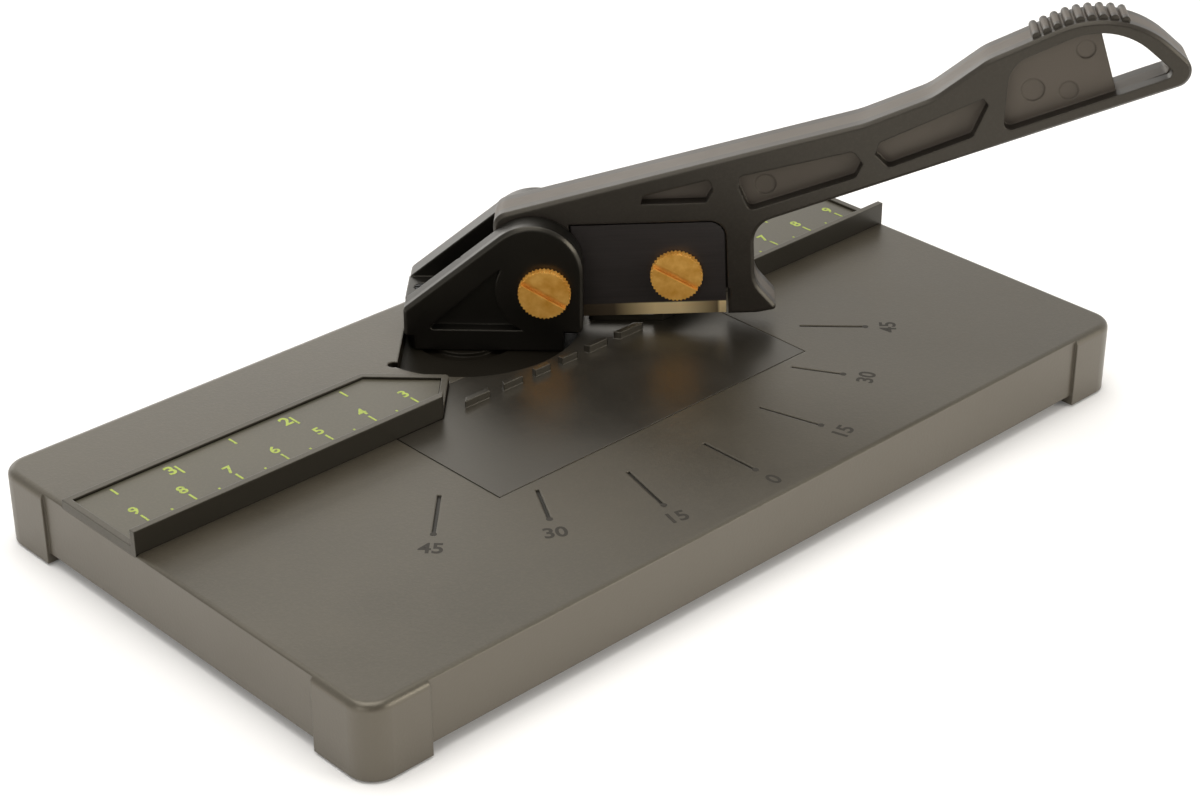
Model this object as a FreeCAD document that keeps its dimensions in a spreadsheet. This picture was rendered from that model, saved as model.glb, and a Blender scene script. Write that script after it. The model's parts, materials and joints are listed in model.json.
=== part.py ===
import FreeCAD, Part
import math
import os
from types import SimpleNamespace

# A small bench mitre guillotine: a moulded base that carries two ruled fences, a turret that swivels
# on the base from 45 degrees right to 45 degrees left, and a lever in the turret that carries the
# blade. The part stands on its foot pads at z = 0. X runs along the fences, Y to the back and Z up.
# The origin is on the floor, halfway from front to back and in line with the swivel axis, which is a
# little right of the middle of the base. The pose at rest has the turret at 45 degrees right and the
# lever a little open.

Precision = 1e-6
Vector = FreeCAD.Vector
Placement = FreeCAD.Placement
Rotation = FreeCAD.Rotation
X_AXIS = Vector(1, 0, 0)
Y_AXIS = Vector(0, 1, 0)
Z_AXIS = Vector(0, 0, 1)

# Driving dimensions in millimetres and degrees

BASE_SIZES = [
    ("base_length", 190.8, "over the corner blocks, along the fences"),
    ("base_width", 103.8, "over the corner blocks, front to back"),
    ("base_height", 15.0, "floor to deck"),
    ("swivel_aside", 1.1, "swivel axis right of the middle of the base"),
    ("base_corner_radius", 5.0, "plan radius of the corner blocks"),
    ("base_edge_radius", 1.5, "round along the edge of the deck"),
    ("block_length", 13.0, "corner block along the fences"),
    ("block_depth", 14.0, "corner block front to back"),
    ("wall_inset", 0.6, "side walls stand in from the corner blocks"),
    ("wall_lift", 2.0, "side walls end above the underside of the blocks"),
    ("wall_thickness", 2.5, "side walls"),
    ("deck_thickness", 2.5, "deck away from the pockets"),
    ("floor_thickness", 3.0, "deck under the recess of the turret"),
    ("rib_thickness", 1.5, "ribs under the deck"),
    ("rib_height", 6.0, "ribs below the thin deck"),
    ("pad_width", 9.0, "rubber foot pads, square"),
    ("pad_thickness", 1.5, "rubber foot pads"),
    ("pad_proud", 0.5, "pads below the corner blocks"),
    ("pad_clearance", 0.2, "round the pads in their seats"),
]

FENCE_SIZES = [
    ("fence_front", 9.8, "front faces of the fences, behind the middle of the base"),
    ("fence_depth", 22.0, "front face to back of the raised rim"),
    ("fence_height", 4.6, "front lip above the deck"),
    ("lip_thickness", 1.3, "front lip and rim round the scale plate"),
    ("rim_height", 1.3, "rim above the deck"),
    ("fence_seat_depth", 0.5, "foot of a fence below the deck"),
    ("fence_clearance", 0.05, "round a fence in its seat"),
    ("plate_height", 0.85, "upper face of the scale plate above the deck"),
    ("plate_thickness", 0.6, "scale plate"),
    ("plate_clearance", 0.15, "round the scale plate in its seat"),
    ("slot_half_width", 1.5, "plane of the cut to a fence end or dash"),
    ("nose_distance", 24.1, "swivel axis to the inner flank of a fence"),
    ("fence_corner_radius", 0.8, "plan corners of the fences"),
]

INSERT_SIZES = [
    ("insert_half_length", 39.2, "cutting insert, middle to side"),
    ("insert_front_reach", 27.9, "cutting insert in front of the fences"),
    ("insert_back_reach", 9.2, "cutting insert behind the fence fronts"),
    ("insert_thickness", 2.5, "cutting insert, flush with the deck"),
    ("insert_clearance", 0.2, "round the cutting insert"),
    ("insert_corner_radius", 0.8, "front corners of the cutting insert"),
    ("dash_height", 1.5, "short fence stretches on the insert"),
    ("dash_thickness", 1.2, "short fence stretches on the insert"),
    ("outer_slot_half_width", 2.3, "slot at 45 degrees, cut plane to the outer dash"),
    ("peg_radius", 2.6, "pegs under the insert"),
    ("peg_hole_radius", 1.0, "pilot holes in the pegs"),
    ("peg_clearance", 0.15, "round the pegs in the deck"),
    ("peg_half_spacing", 33.0, "pegs, middle to side"),
    ("insert_screw_radius", 0.95, "thread of the insert screws"),
    ("insert_screw_length", 5.0, "insert screws below the head"),
    ("insert_screw_head_radius", 3.3, "insert screws"),
    ("insert_screw_head_height", 1.6, "insert screws"),
]

MARK_SIZES = [
    ("mark_width", 0.7, "engraved angle lines"),
    ("mark_depth", 0.3, "engraved angle lines"),
    ("mark_start", 65.5, "swivel axis to the near end of a line"),
    ("mark_length", 13.5, "engraved angle lines"),
    ("short_mark_length", 10.1, "engraved lines at 30 degrees"),
    ("index_angle", 15.0, "angle between two index positions"),
]

SWIVEL_SIZES = [
    ("swivel_back", 36.0, "swivel axis behind the middle of the base"),
    ("head_angle", 45.0, "turret at rest, turned to the right"),
    ("recess_depth", 3.0, "recess of the turret below the deck"),
    ("recess_radius", 22.65, "front arc of the recess"),
    ("recess_flank", 11.9, "swivel axis to the straight flanks and the round back of the recess"),
    ("relief_radius", 1.2, "round relief at the ends of the front arc"),
    ("running_gap", 0.3, "turret to recess"),
    ("slip_gap", 0.05, "faces that slide on each other"),
    ("swivel_bolt_radius", 2.0, "swivel bolt"),
    ("swivel_bolt_clearance", 0.2, "round the bolt"),
    ("swivel_head_radius", 3.1, "head of the swivel bolt"),
    ("swivel_head_height", 2.6, "head of the swivel bolt"),
    ("swivel_socket_radius", 1.6, "hexagon socket, over its corners"),
    ("swivel_socket_depth", 1.4, "hexagon socket"),
    ("bearing_radius", 5.4, "bearing washer under the turret"),
    ("bearing_thickness", 1.0, "bearing washer under the turret"),
    ("flat_washer_radius", 6.0, "flat washer under the deck"),
    ("flat_washer_thickness", 1.0, "flat washer under the deck"),
    ("spring_washer_radius", 3.8, "spring washer"),
    ("spring_washer_thickness", 1.1, "spring washer"),
    ("spring_washer_split", 0.8, "split of the spring washer"),
    ("swivel_nut_radius", 4.04, "swivel nut over its corners"),
    ("swivel_nut_height", 3.2, "swivel nut"),
    ("bolt_end", 1.0, "bolt below its nut"),
    ("index_back", 8.6, "index pin behind the swivel axis"),
    ("index_aside", 3.0, "index pin beside the swivel axis"),
    ("index_pin_radius", 1.5, "index pin"),
    ("index_pin_length", 2.6, "index pin"),
    ("index_pin_nose", 1.0, "cone at the lower end of the index pin"),
    ("index_pin_sink", 0.7, "index pin below the floor of the recess"),
    ("index_clearance", 0.1, "round the pin in its bore and below it in the groove"),
    ("track_half_width", 1.4, "ring groove that the index pin runs in"),
    ("notch_length", 1.2, "notches across the ring groove, along its run"),
    ("notch_depth", 0.5, "notches below the ring groove"),
    ("spring_radius", 1.3, "index spring, a plain sleeve"),
    ("spring_bore", 0.9, "index spring, a plain sleeve"),
    ("plug_length", 3.0, "threaded plug above the index spring"),
    ("plug_slot_width", 0.5, "slot of the plug"),
    ("plug_slot_depth", 0.6, "slot of the plug"),
]

TURRET_SIZES = [
    ("ear_near_outer", 6.6, "outer face of the near ear, in front of the cut plane"),
    ("ear_near_inner", 1.6, "inner face of the near ear, in front of the cut plane"),
    ("ear_far_inner", 7.6, "inner face of the far ear, behind the cut plane"),
    ("ear_far_outer", 12.6, "outer face of the far ear, behind the cut plane"),
    ("foot_far", 11.3, "far side of the foot, behind the cut plane"),
    ("ear_back", 11.6, "back of the ears, behind the swivel axis"),
    ("ear_front", 23.2, "front of the ears"),
    ("ear_back_height", 5.9, "back of the ears above the deck"),
    ("ear_peak_height", 34.6, "where slope and front of the ears would meet"),
    ("ear_crown_radius", 9.8, "round over the pivot"),
    ("ear_corner_radius", 1.5, "small corners of the ears"),
    ("ear_bevel", 0.6, "outer edges of the ears"),
    ("foot_front", 19.4, "front of the foot"),
    ("foot_front_radius", 22.3, "round front corner of the foot"),
    ("chin_height", 0.9, "underside of the near ear's overhang above the deck"),
    ("web_height", 0.5, "web between the ears, below the deck"),
    ("seat_front", 5.0, "front of the bolt seat"),
    ("seat_height", 2.0, "bolt seat above the deck"),
    ("bridge_front", 6.2, "front of the back bridge, behind the swivel axis"),
    ("bridge_height", 6.0, "back bridge above the deck"),
    ("window_depth", 2.5, "three-cornered recess of the near ear"),
    ("window_radius", 9.5, "recess, round the pivot"),
    ("window_top", 14.6, "recess, upper corner above the deck"),
    ("window_top_front", 7.1, "recess, upper corner in front of the swivel axis"),
    ("window_low", 1.6, "recess, lower edge above the deck"),
    ("window_back", 7.3, "recess, back corner behind the swivel axis"),
    ("window_corner_radius", 0.6, "corners of the recess"),
]

LEVER_SIZES = [
    ("pivot_front", 15.8, "pivot in front of the swivel axis"),
    ("pivot_height", 10.1, "pivot above the deck"),
    ("rest_tilt", 2.6, "lever at rest, toe up"),
    ("lever_near", 1.4, "near face of the lever, in front of the cut plane"),
    ("lever_far", 7.4, "far face of the lever, behind the cut plane"),
    ("grip_reach", 100.0, "pivot to the middle of the grip window"),
    ("lobe_radius", 9.0, "lever round its pivot"),
    ("lever_bevel", 0.6, "outer edges of the lever"),
    ("pocket_depth", 2.6, "pockets in both sides of the lever"),
    ("ejector_depth", 0.25, "round ejector marks in the webs"),
    ("rib_radius", 0.8, "grip ribs"),
    ("rib_pitch", 2.1, "grip ribs"),
    ("rib_rise", 0.2, "centre of a grip rib above the lever"),
]

BLADE_SIZES = [
    ("blade_thickness", 1.2, "blade"),
    ("blade_back", 5.4, "back end of the blade in front of the pivot"),
    ("blade_front", 34.9, "front end of the blade in front of the pivot"),
    ("blade_top", 11.2, "upper edge of the blade above the pivot"),
    ("blade_drop", 8.8, "cutting edge below the pivot"),
    ("bevel_height", 3.1, "ground bevel"),
    ("edge_width", 0.08, "cutting edge"),
    ("blade_corner_radius", 3.0, "upper front corner of the blade"),
    ("blade_clearance", 0.4, "round the blade in its seat"),
    ("clamp_front", 25.4, "clamp screw in front of the pivot"),
    ("clamp_height", 0.4, "clamp screw above the pivot"),
]

FASTENER_SIZES = [
    ("thumb_radius", 5.1, "knurled heads of pivot and clamp screw"),
    ("thumb_height", 1.6, "knurled heads"),
    ("tooth_depth", 0.3, "knurling"),
    ("thumb_slot_width", 1.0, "coin slot of the knurled heads"),
    ("thumb_slot_depth", 0.8, "coin slot of the knurled heads"),
    ("thumb_slot_angle", 31.0, "coin slots at rest, front end down"),
    ("pivot_radius", 2.5, "shank of the pivot screw"),
    ("pivot_clearance", 0.1, "round the pivot screw"),
    ("bush_radius", 4.0, "pivot bush"),
    ("bush_clearance", 0.05, "round the bush in the lever"),
    ("bush_proud", 0.1, "bush beyond each face of the lever"),
    ("pivot_nut_radius", 4.6, "pivot nut over its corners"),
    ("pivot_nut_height", 2.4, "pivot nut"),
    ("clamp_radius", 1.5, "shank of the clamp screw"),
    ("clamp_clearance", 0.1, "round the clamp screw"),
    ("clamp_nut_radius", 3.15, "clamp nut over its corners"),
    ("clamp_nut_height", 2.4, "clamp nut"),
    ("nut_clearance", 0.1, "round a nut in its seat"),
    ("overrun", 2.0, "cuts past the faces that they open"),
]

SIZES = (BASE_SIZES + FENCE_SIZES + INSERT_SIZES + MARK_SIZES + SWIVEL_SIZES
         + TURRET_SIZES + LEVER_SIZES + BLADE_SIZES + FASTENER_SIZES)

# Counts

RIB_COUNT = 9
TOOTH_COUNT = 40
INDEX_STEPS = (-3, -2, -1, 0, 1, 2, 3)
SHORT_MARK_STEPS = (-2, 2)
DASH_STEPS = (0, 1, 2)

# Outlines of the lever as shares of grip_reach, seen from the near side with the pivot at 0, 0:
# along the lever, up, and the radius of the corner

LEVER_OUTLINE_SHARES = [
    (-0.095, 0.137, 0.030),
    (0.615, 0.305, 0.200),
    (0.745, 0.354, 0.120),
    (0.845, 0.426, 0.100),
    (1.089, 0.531, 0.195),
    (1.253, 0.378, 0.032),
    (0.405, 0.103, 0.050),
    (0.405, -0.020, 0.060),
    (0.452, -0.079, 0.008),
    (0.408, -0.0865, 0.015),
    (0.353, -0.0865, 0.0),
    (0.353, -0.035, 0.0),
    (0.060, -0.035, 0.0),
    (-0.040, -0.035, 0.0),
    (-0.095, 0.004, 0.030),
]
TOP_OF_GRIP = 4
POCKET_SHARES = [
    [(0.190, 0.154, 0.0), (0.195, 0.171, 0.0), (0.323, 0.202, 0.008), (0.329, 0.178, 0.012),
     (0.315, 0.154, 0.0)],
    [(0.379, 0.206, 0.010), (0.596, 0.251, 0.012), (0.614, 0.225, 0.0), (0.600, 0.196, 0.014),
     (0.398, 0.134, 0.012), (0.379, 0.180, 0.0)],
    [(0.645, 0.268, 0.010), (0.838, 0.351, 0.0), (0.848, 0.337, 0.0), (0.820, 0.273, 0.014),
     (0.663, 0.215, 0.012), (0.636, 0.244, 0.0)],
    [(0.876, 0.280, 0.015), (0.885, 0.417, 0.060), (1.076, 0.498, 0.140), (1.198, 0.386, 0.012)],
]
FINGER_LOOP_SHARES = [(1.055, 0.468, 0.004), (1.075, 0.4715, 0.040), (1.120, 0.4545, 0.030),
                      (1.195, 0.386, 0.012), (1.088, 0.349, 0.004)]
EJECTOR_SHARES = [(0.430, 0.178, 0.020), (0.933, 0.355, 0.022), (1.029, 0.433, 0.018),
                  (1.000, 0.352, 0.018)]
FIRST_RIB_SHARE = 0.935

doc = FreeCAD.newDocument("mitre_guillotine")
sheet = doc.addObject("Spreadsheet::Sheet", "sizes")
for row, (alias, value, note) in enumerate(SIZES, start=1):
    sheet.set("A%d" % row, alias)
    sheet.set("B%d" % row, str(value))
    sheet.set("C%d" % row, note)
    sheet.setAlias("B%d" % row, alias)
doc.recompute()
s = SimpleNamespace(**{alias: float(sheet.get(alias)) for alias, value, note in SIZES})

# Places that follow from the sizes

HEAD = Placement(Vector(0, s.swivel_back, s.base_height), Rotation(Z_AXIS, -s.head_angle))
PIVOT = Placement(Vector(s.pivot_front, 0, s.pivot_height), Rotation(Y_AXIS, -s.rest_tilt))
LEVER = HEAD * PIVOT
UPRIGHT = Rotation()
TOWARDS_NEAR = Rotation(X_AXIS, 90)
base_left = -s.base_length / 2 - s.swivel_aside
base_right = s.base_length / 2 - s.swivel_aside
index_radius = math.hypot(s.index_back, s.index_aside)
index_pin_foot = -s.recess_depth - s.index_pin_sink
deck_underside = -s.recess_depth - s.floor_thickness
deck_low = s.base_height + deck_underside
fence_back = s.fence_front + s.fence_depth
insert_front = s.fence_front - s.insert_front_reach


# Outlines


def rounded_corner(before, corner, after, radius):
    """Where the arc of a rounded corner starts, its middle, its end and its centre."""
    back = (before - corner).normalize()
    ahead = (after - corner).normalize()
    half = back.getAngle(ahead) / 2
    inward = (back + ahead).normalize()
    reach = radius / math.tan(half)
    centre = corner + inward * (radius / math.sin(half))
    return corner + back * reach, centre - inward * radius, corner + ahead * reach, centre


def outline(corners):
    """A closed run of lines and tangent arcs round corners given as (x, y) or (x, y, radius)."""
    points = [Vector(corner[0], corner[1], 0) for corner in corners]
    radii = [corner[2] if len(corner) > 2 else 0 for corner in corners]
    starts = []
    ends = []
    shapes = []
    for index, point in enumerate(points):
        if radii[index] > 0:
            after = points[(index + 1) % len(points)]
            start, middle, end, centre = rounded_corner(points[index - 1], point, after, radii[index])
            shapes.append(Part.Arc(start, middle, end))
        else:
            start, end = point, point
        starts.append(start)
        ends.append(end)
    for index, end in enumerate(ends):
        start = starts[(index + 1) % len(starts)]
        if (start - end).Length > Precision:
            shapes.append(Part.LineSegment(end, start))
    return shapes


def circle(x, y, radius):
    return [Part.Circle(Vector(x, y, 0), Z_AXIS, radius)]


def rectangle(left, front, right, back, radius=0):
    corners = [(left, front), (right, front), (right, back), (left, back)]
    return outline([corner + (radius,) for corner in corners])


def hexagon(x, y, radius):
    angles = [math.radians(60 * side) for side in range(6)]
    return outline([(x + radius * math.cos(angle), y + radius * math.sin(angle)) for angle in angles])


def toothed(radius, depth, count):
    """A round outline with pointed teeth."""
    corners = []
    for step in range(2 * count):
        angle = math.pi * step / count
        reach = radius - depth * (step % 2)
        corners.append((reach * math.cos(angle), reach * math.sin(angle)))
    return outline(corners)


def of_grip(shares):
    """An outline of the lever in millimetres, from its shares of the grip's reach."""
    return outline([tuple(share * s.grip_reach for share in corner) for corner in shares])


# Features


def new_body(label, placement=None):
    body = doc.addObject("PartDesign::Body", label)
    body.Label = label
    if placement is not None:
        body.Placement = placement
    return body


def origin_plane(body, role):
    return [feature for feature in body.Origin.OriginFeatures if feature.Role == role][0]


def new_sketch(body, name, role, level, loops):
    """Closed loops on a plane parallel to an origin plane; level is its distance, as an expression."""
    sketch = body.newObject("Sketcher::SketchObject", name + "_sketch")
    sketch.AttachmentSupport = [(origin_plane(body, role), "")]
    sketch.MapMode = "FlatFace"
    sketch.setExpression("AttachmentOffset.Base.z", level)
    for loop in loops:
        sketch.addGeometry(loop, False)
    return sketch


def add(body, name, role, level, length, loops, backwards=False):
    pad = body.newObject("PartDesign::Pad", name)
    pad.Profile = new_sketch(body, name, role, level, loops)
    pad.setExpression("Length", length)
    pad.Reversed = backwards
    return pad


def cut(body, name, role, level, length, loops, backwards=False):
    pocket = body.newObject("PartDesign::Pocket", name)
    pocket.Profile = new_sketch(body, name, role, level, loops)
    pocket.setExpression("Length", length)
    pocket.Reversed = backwards
    return pocket


def dress_edges(body, name, kind, size, chosen):
    """A fillet or chamfer on the edges of the body's last feature that the function chosen picks."""
    doc.recompute()
    base = body.Tip
    names = ["Edge%d" % number for number, edge in enumerate(base.Shape.Edges, start=1) if chosen(edge)]
    dressing = body.newObject("PartDesign::" + kind, name)
    dressing.Base = (base, names)
    dressing.setExpression("Radius" if kind == "Fillet" else "Size", size)
    return dressing


def at_level(edge, axis, level):
    """True for an edge that lies in the plane where the coordinate axis has that value."""
    return all(abs(getattr(point, axis) - level) < Precision for point in edge.discretize(3))


def cylinder(name, radius, height, placement):
    solid = doc.addObject("Part::Cylinder", name)
    solid.setExpression("Radius", radius)
    solid.setExpression("Height", height)
    solid.Placement = placement
    return solid


def ring(label, radius, bore, height, placement):
    """A plain ring with its foot at the placement, its radius, bore and height as expressions."""
    around = cylinder(label + "_round", radius, height, Placement())
    through = cylinder(label + "_bore", bore, height, Placement())
    part = doc.addObject("Part::Cut", label)
    part.Base = around
    part.Tool = through
    part.Label = label
    part.Placement = placement
    return part


def nut(label, radius, bore, height, placement):
    prism = doc.addObject("Part::Prism", label + "_hexagon")
    prism.Polygon = 6
    prism.setExpression("Circumradius", radius)
    prism.setExpression("Height", height)
    part = doc.addObject("Part::Cut", label)
    part.Base = prism
    part.Tool = cylinder(label + "_bore", bore, height, Placement())
    part.Label = label
    part.Placement = placement
    return part


def group(label, members):
    part = doc.addObject("Part::Compound", label)
    part.Links = members
    part.Label = label
    return part


# The base


def fence_corners(side, radius=0):
    """Plan of a fence: outer back, inner back, nose, inner front and outer front corner."""
    outer = base_right - s.wall_inset if side > 0 else -base_left - s.wall_inset
    nose_sum = s.nose_distance * math.sqrt(2)
    slot = s.slot_half_width * math.sqrt(2)
    front_run = s.swivel_back - s.fence_front
    back_run = s.swivel_back - fence_back
    nose_run = (nose_sum - slot) / 2
    return [(side * outer, fence_back),
            (side * (nose_sum - back_run), fence_back, radius),
            (side * (nose_run + slot), s.swivel_back - nose_run, radius),
            (side * (front_run + slot), s.fence_front),
            (side * outer, s.fence_front)]


def inset(corners, distance):
    """The corners of a convex or concave plan moved inwards by one distance."""
    points = [Vector(corner[0], corner[1], 0) for corner in corners]
    area = sum(point.cross(points[(i + 1) % len(points)]).z for i, point in enumerate(points))
    turn = 1 if area > 0 else -1
    moved = []
    for index, point in enumerate(points):
        arriving = (point - points[index - 1]).normalize()
        leaving = (points[(index + 1) % len(points)] - point).normalize()
        inward_a = Z_AXIS.cross(arriving) * turn
        inward_b = Z_AXIS.cross(leaving) * turn
        shift = (inward_a + inward_b) * (distance / (1 + inward_a.dot(inward_b)))
        radius = corners[index][2] if len(corners[index]) > 2 else 0
        moved.append((point.x + shift.x, point.y + shift.y, radius))
    return moved


def insert_loop(clearance, fence_gap):
    """Plan of the cutting insert, grown by a clearance; its back is open to the turret's recess."""
    half = s.insert_half_length + clearance
    front = insert_front - clearance
    shoulder = s.fence_front - fence_gap
    back = s.fence_front + s.insert_back_reach
    slot = s.slot_half_width * math.sqrt(2) - fence_gap
    neck = s.swivel_back - shoulder + slot
    horn = s.swivel_back - back + slot
    arc_end = math.sqrt(s.recess_radius ** 2 - (s.swivel_back - back) ** 2)
    edge = [(-arc_end, back), (-horn, back), (-neck, shoulder), (-half, shoulder),
            (-half, front), (half, front), (half, shoulder), (neck, shoulder), (horn, back),
            (arc_end, back)]
    points = [Vector(x, y, 0) for x, y in edge]
    lines = [Part.LineSegment(a, b) for a, b in zip(points, points[1:])]
    crown = Vector(0, s.swivel_back - s.recess_radius, 0)
    return lines + [Part.Arc(points[-1], crown, points[0])]


def recess_loop():
    """Plan of the turret's recess: a wide arc in front, two straight flanks and a round back."""
    front_run = math.sqrt(s.recess_radius ** 2 - s.recess_flank ** 2)
    wide = (s.recess_flank + front_run) / math.sqrt(2)
    wide_y = s.swivel_back + (s.recess_flank - front_run) / math.sqrt(2)
    close = s.recess_flank / math.sqrt(2)
    left, right = Vector(-wide, wide_y, 0), Vector(wide, wide_y, 0)
    back_left = Vector(-close, s.swivel_back + close, 0)
    back_right = Vector(close, s.swivel_back + close, 0)
    front = Vector(0, s.swivel_back - s.recess_radius, 0)
    back = Vector(0, s.swivel_back + s.recess_flank, 0)
    return [Part.Arc(left, front, right), Part.LineSegment(right, back_right),
            Part.Arc(back_right, back, back_left), Part.LineSegment(back_left, left)]


def relief_loops():
    run = math.sqrt(s.recess_radius ** 2 - s.recess_flank ** 2) - s.relief_radius
    out = s.recess_flank + s.relief_radius / 2
    across = (out + run) / math.sqrt(2)
    along = s.swivel_back + (out - run) / math.sqrt(2)
    return [circle(side * across, along, s.relief_radius) for side in (-1, 1)]


def mark_loop(step):
    """One engraved line that points at the swivel axis."""
    angle = math.radians(step * s.index_angle)
    outward = Vector(math.sin(angle), -math.cos(angle), 0)
    aside = Vector(math.cos(angle), math.sin(angle), 0) * (s.mark_width / 2)
    axis = Vector(0, s.swivel_back, 0)
    length = s.short_mark_length if step in SHORT_MARK_STEPS else s.mark_length
    near = axis + outward * s.mark_start
    far = near + outward * length
    return outline([tuple(point)[:2] for point in (near - aside, near + aside, far + aside, far - aside)])


def peg_places():
    return [(side * s.peg_half_spacing, (insert_front + s.fence_front) / 2) for side in (-1, 1)]


def pad_places():
    columns = (base_left + s.block_length / 2, base_right - s.block_length / 2)
    row = s.base_width / 2 - s.block_depth / 2
    return [(x, y) for x in columns for y in (-row, row)]


def cell_loops(edges_x, edges_y):
    """Rectangular cells between ribs whose middles are the edges, walls at the ends."""
    half_rib = s.rib_thickness / 2
    cells = []
    for left, right in zip(edges_x, edges_x[1:]):
        for front, back in zip(edges_y, edges_y[1:]):
            cells.append(rectangle(left + half_rib, front + half_rib, right - half_rib, back - half_rib))
    return cells


def make_base():
    body = new_body("base_shell")
    half_y = s.base_width / 2
    add(body, "block", "XY_Plane", "sizes.pad_proud", "sizes.base_height - sizes.pad_proud",
        [rectangle(base_left, -half_y, base_right, half_y, s.base_corner_radius)])
    dress_edges(body, "deck_edge", "Fillet", "sizes.base_edge_radius",
                lambda edge: at_level(edge, "z", s.base_height))
    strip_left = base_left + s.block_length
    strip_right = base_right - s.block_length
    strip_y = half_y - s.block_depth
    side_left = base_left + s.wall_inset
    side_right = base_right - s.wall_inset
    side_y = half_y - s.wall_inset
    out_left = base_left - s.overrun
    out_right = base_right + s.overrun
    out_y = half_y + s.overrun
    cut(body, "wall_faces", "XY_Plane", "0", "sizes.base_height + sizes.overrun",
        [rectangle(strip_left, side_y, strip_right, out_y),
         rectangle(strip_left, -out_y, strip_right, -side_y),
         rectangle(side_right, -strip_y, out_right, strip_y),
         rectangle(out_left, -strip_y, side_left, strip_y)], backwards=True)
    cut(body, "wall_feet_long", "XY_Plane", "0", "sizes.pad_proud + sizes.wall_lift",
        [rectangle(strip_left, -out_y, strip_right, out_y)], backwards=True)
    cut(body, "wall_feet_short", "XY_Plane", "0", "sizes.pad_proud + sizes.wall_lift",
        [rectangle(out_left, -strip_y, out_right, strip_y)], backwards=True)
    room_left = side_left + s.wall_thickness
    room_right = side_right - s.wall_thickness
    room_y = side_y - s.wall_thickness
    block_left = strip_left + s.wall_thickness
    block_right = strip_right - s.wall_thickness
    block_y = strip_y - s.wall_thickness
    cut(body, "underside", "XY_Plane", "0",
        "sizes.base_height - sizes.deck_thickness - sizes.rib_height",
        [outline([(block_left, -room_y), (block_right, -room_y), (block_right, -block_y),
                  (room_right, -block_y), (room_right, block_y), (block_right, block_y),
                  (block_right, room_y), (block_left, room_y), (block_left, block_y),
                  (room_left, block_y), (room_left, -block_y), (block_left, -block_y)])],
        backwards=True)
    half_rib = s.rib_thickness / 2
    middle = s.insert_half_length + s.wall_thickness
    rows = (-room_y - half_rib, 0, room_y + half_rib)
    end_rows = (-block_y - half_rib, 0, block_y + half_rib)
    left_columns = (block_left, (block_left - middle) / 2, -middle)
    right_columns = (middle, (block_right + middle) / 2, block_right)
    cells = cell_loops(left_columns, rows) + cell_loops(right_columns, rows)
    cells += cell_loops((room_left - half_rib, block_left), end_rows)
    cells += cell_loops((block_right, room_right + half_rib), end_rows)
    cut(body, "outer_cells", "XY_Plane", "0", "sizes.base_height - sizes.deck_thickness",
        cells, backwards=True)
    cut(body, "middle_cells", "XY_Plane", "0",
        "sizes.base_height - sizes.recess_depth - sizes.floor_thickness",
        cell_loops((-middle, -middle / 3, middle / 3, middle), rows), backwards=True)
    cut(body, "fence_seats", "XY_Plane", "sizes.base_height", "sizes.fence_seat_depth",
        [outline(inset(fence_corners(side), -s.fence_clearance)) for side in (-1, 1)])
    cut(body, "insert_pocket", "XY_Plane", "sizes.base_height", "sizes.insert_thickness",
        [insert_loop(s.insert_clearance, 0)])
    cut(body, "turret_recess", "XY_Plane", "sizes.base_height", "sizes.recess_depth",
        [recess_loop()])
    cut(body, "recess_reliefs", "XY_Plane", "sizes.base_height", "sizes.recess_depth", relief_loops())
    cut(body, "angle_marks", "XY_Plane", "sizes.base_height", "sizes.mark_depth",
        [mark_loop(step) for step in INDEX_STEPS])
    cut(body, "peg_holes", "XY_Plane", "sizes.base_height - sizes.insert_thickness",
        "sizes.base_height",
        [circle(x, y, s.peg_radius + s.peg_clearance) for x, y in peg_places()])
    cut(body, "bolt_hole", "XY_Plane", "sizes.base_height", "sizes.base_height",
        [circle(0, s.swivel_back, s.swivel_bolt_radius + s.swivel_bolt_clearance)])
    cut(body, "index_track", "XY_Plane", "sizes.base_height - sizes.recess_depth",
        "sizes.index_pin_sink + sizes.index_clearance",
        [circle(0, s.swivel_back, index_radius - s.track_half_width),
         circle(0, s.swivel_back, index_radius + s.track_half_width)])
    cut(body, "index_notches", "XY_Plane", "sizes.base_height - sizes.recess_depth",
        "sizes.index_pin_sink + sizes.index_clearance + sizes.notch_depth",
        [notch_loop(step) for step in INDEX_STEPS])
    pad_reach = s.pad_width / 2 + s.pad_clearance
    cut(body, "pad_seats", "XY_Plane", "0", "sizes.pad_thickness",
        [rectangle(x - pad_reach, y - pad_reach, x + pad_reach, y + pad_reach) for x, y in pad_places()],
        backwards=True)
    return body


def notch_loop(step):
    """A notch across the index track under the pin, for one of the turret's index positions."""
    pin = math.degrees(math.atan2(s.index_aside, -s.index_back))
    turned = Rotation(Z_AXIS, pin - step * s.index_angle - 90)
    near = index_radius - s.track_half_width
    far = index_radius + s.track_half_width
    half = s.notch_length / 2
    corners = [turned.multVec(Vector(x, y, 0)) for x, y in
               ((near, -half), (far, -half), (far, half), (near, half))]
    return outline([(corner.x, s.swivel_back + corner.y) for corner in corners])


def make_fence(name, side):
    """A ruled fence, seated in the deck: a lip in front and a low rim round the scale plate."""
    body = new_body(name)
    corners = fence_corners(side, s.fence_corner_radius)
    add(body, name + "_rim", "XY_Plane", "sizes.base_height - sizes.fence_seat_depth",
        "sizes.fence_seat_depth + sizes.rim_height", [outline(corners)])
    front_outer, front_inner = corners[4], corners[3]
    slant = s.lip_thickness * side
    lip = [front_outer, front_inner,
           (front_inner[0] - slant, s.fence_front + s.lip_thickness),
           (front_outer[0], s.fence_front + s.lip_thickness)]
    add(body, name + "_lip", "XY_Plane", "sizes.base_height", "sizes.fence_height", [outline(lip)])
    seat = inset(fence_corners(side), s.lip_thickness)
    cut(body, name + "_plate_seat", "XY_Plane", "sizes.base_height + sizes.rim_height",
        "sizes.rim_height - sizes.plate_height + sizes.plate_thickness", [outline(seat)])
    return body


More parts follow.
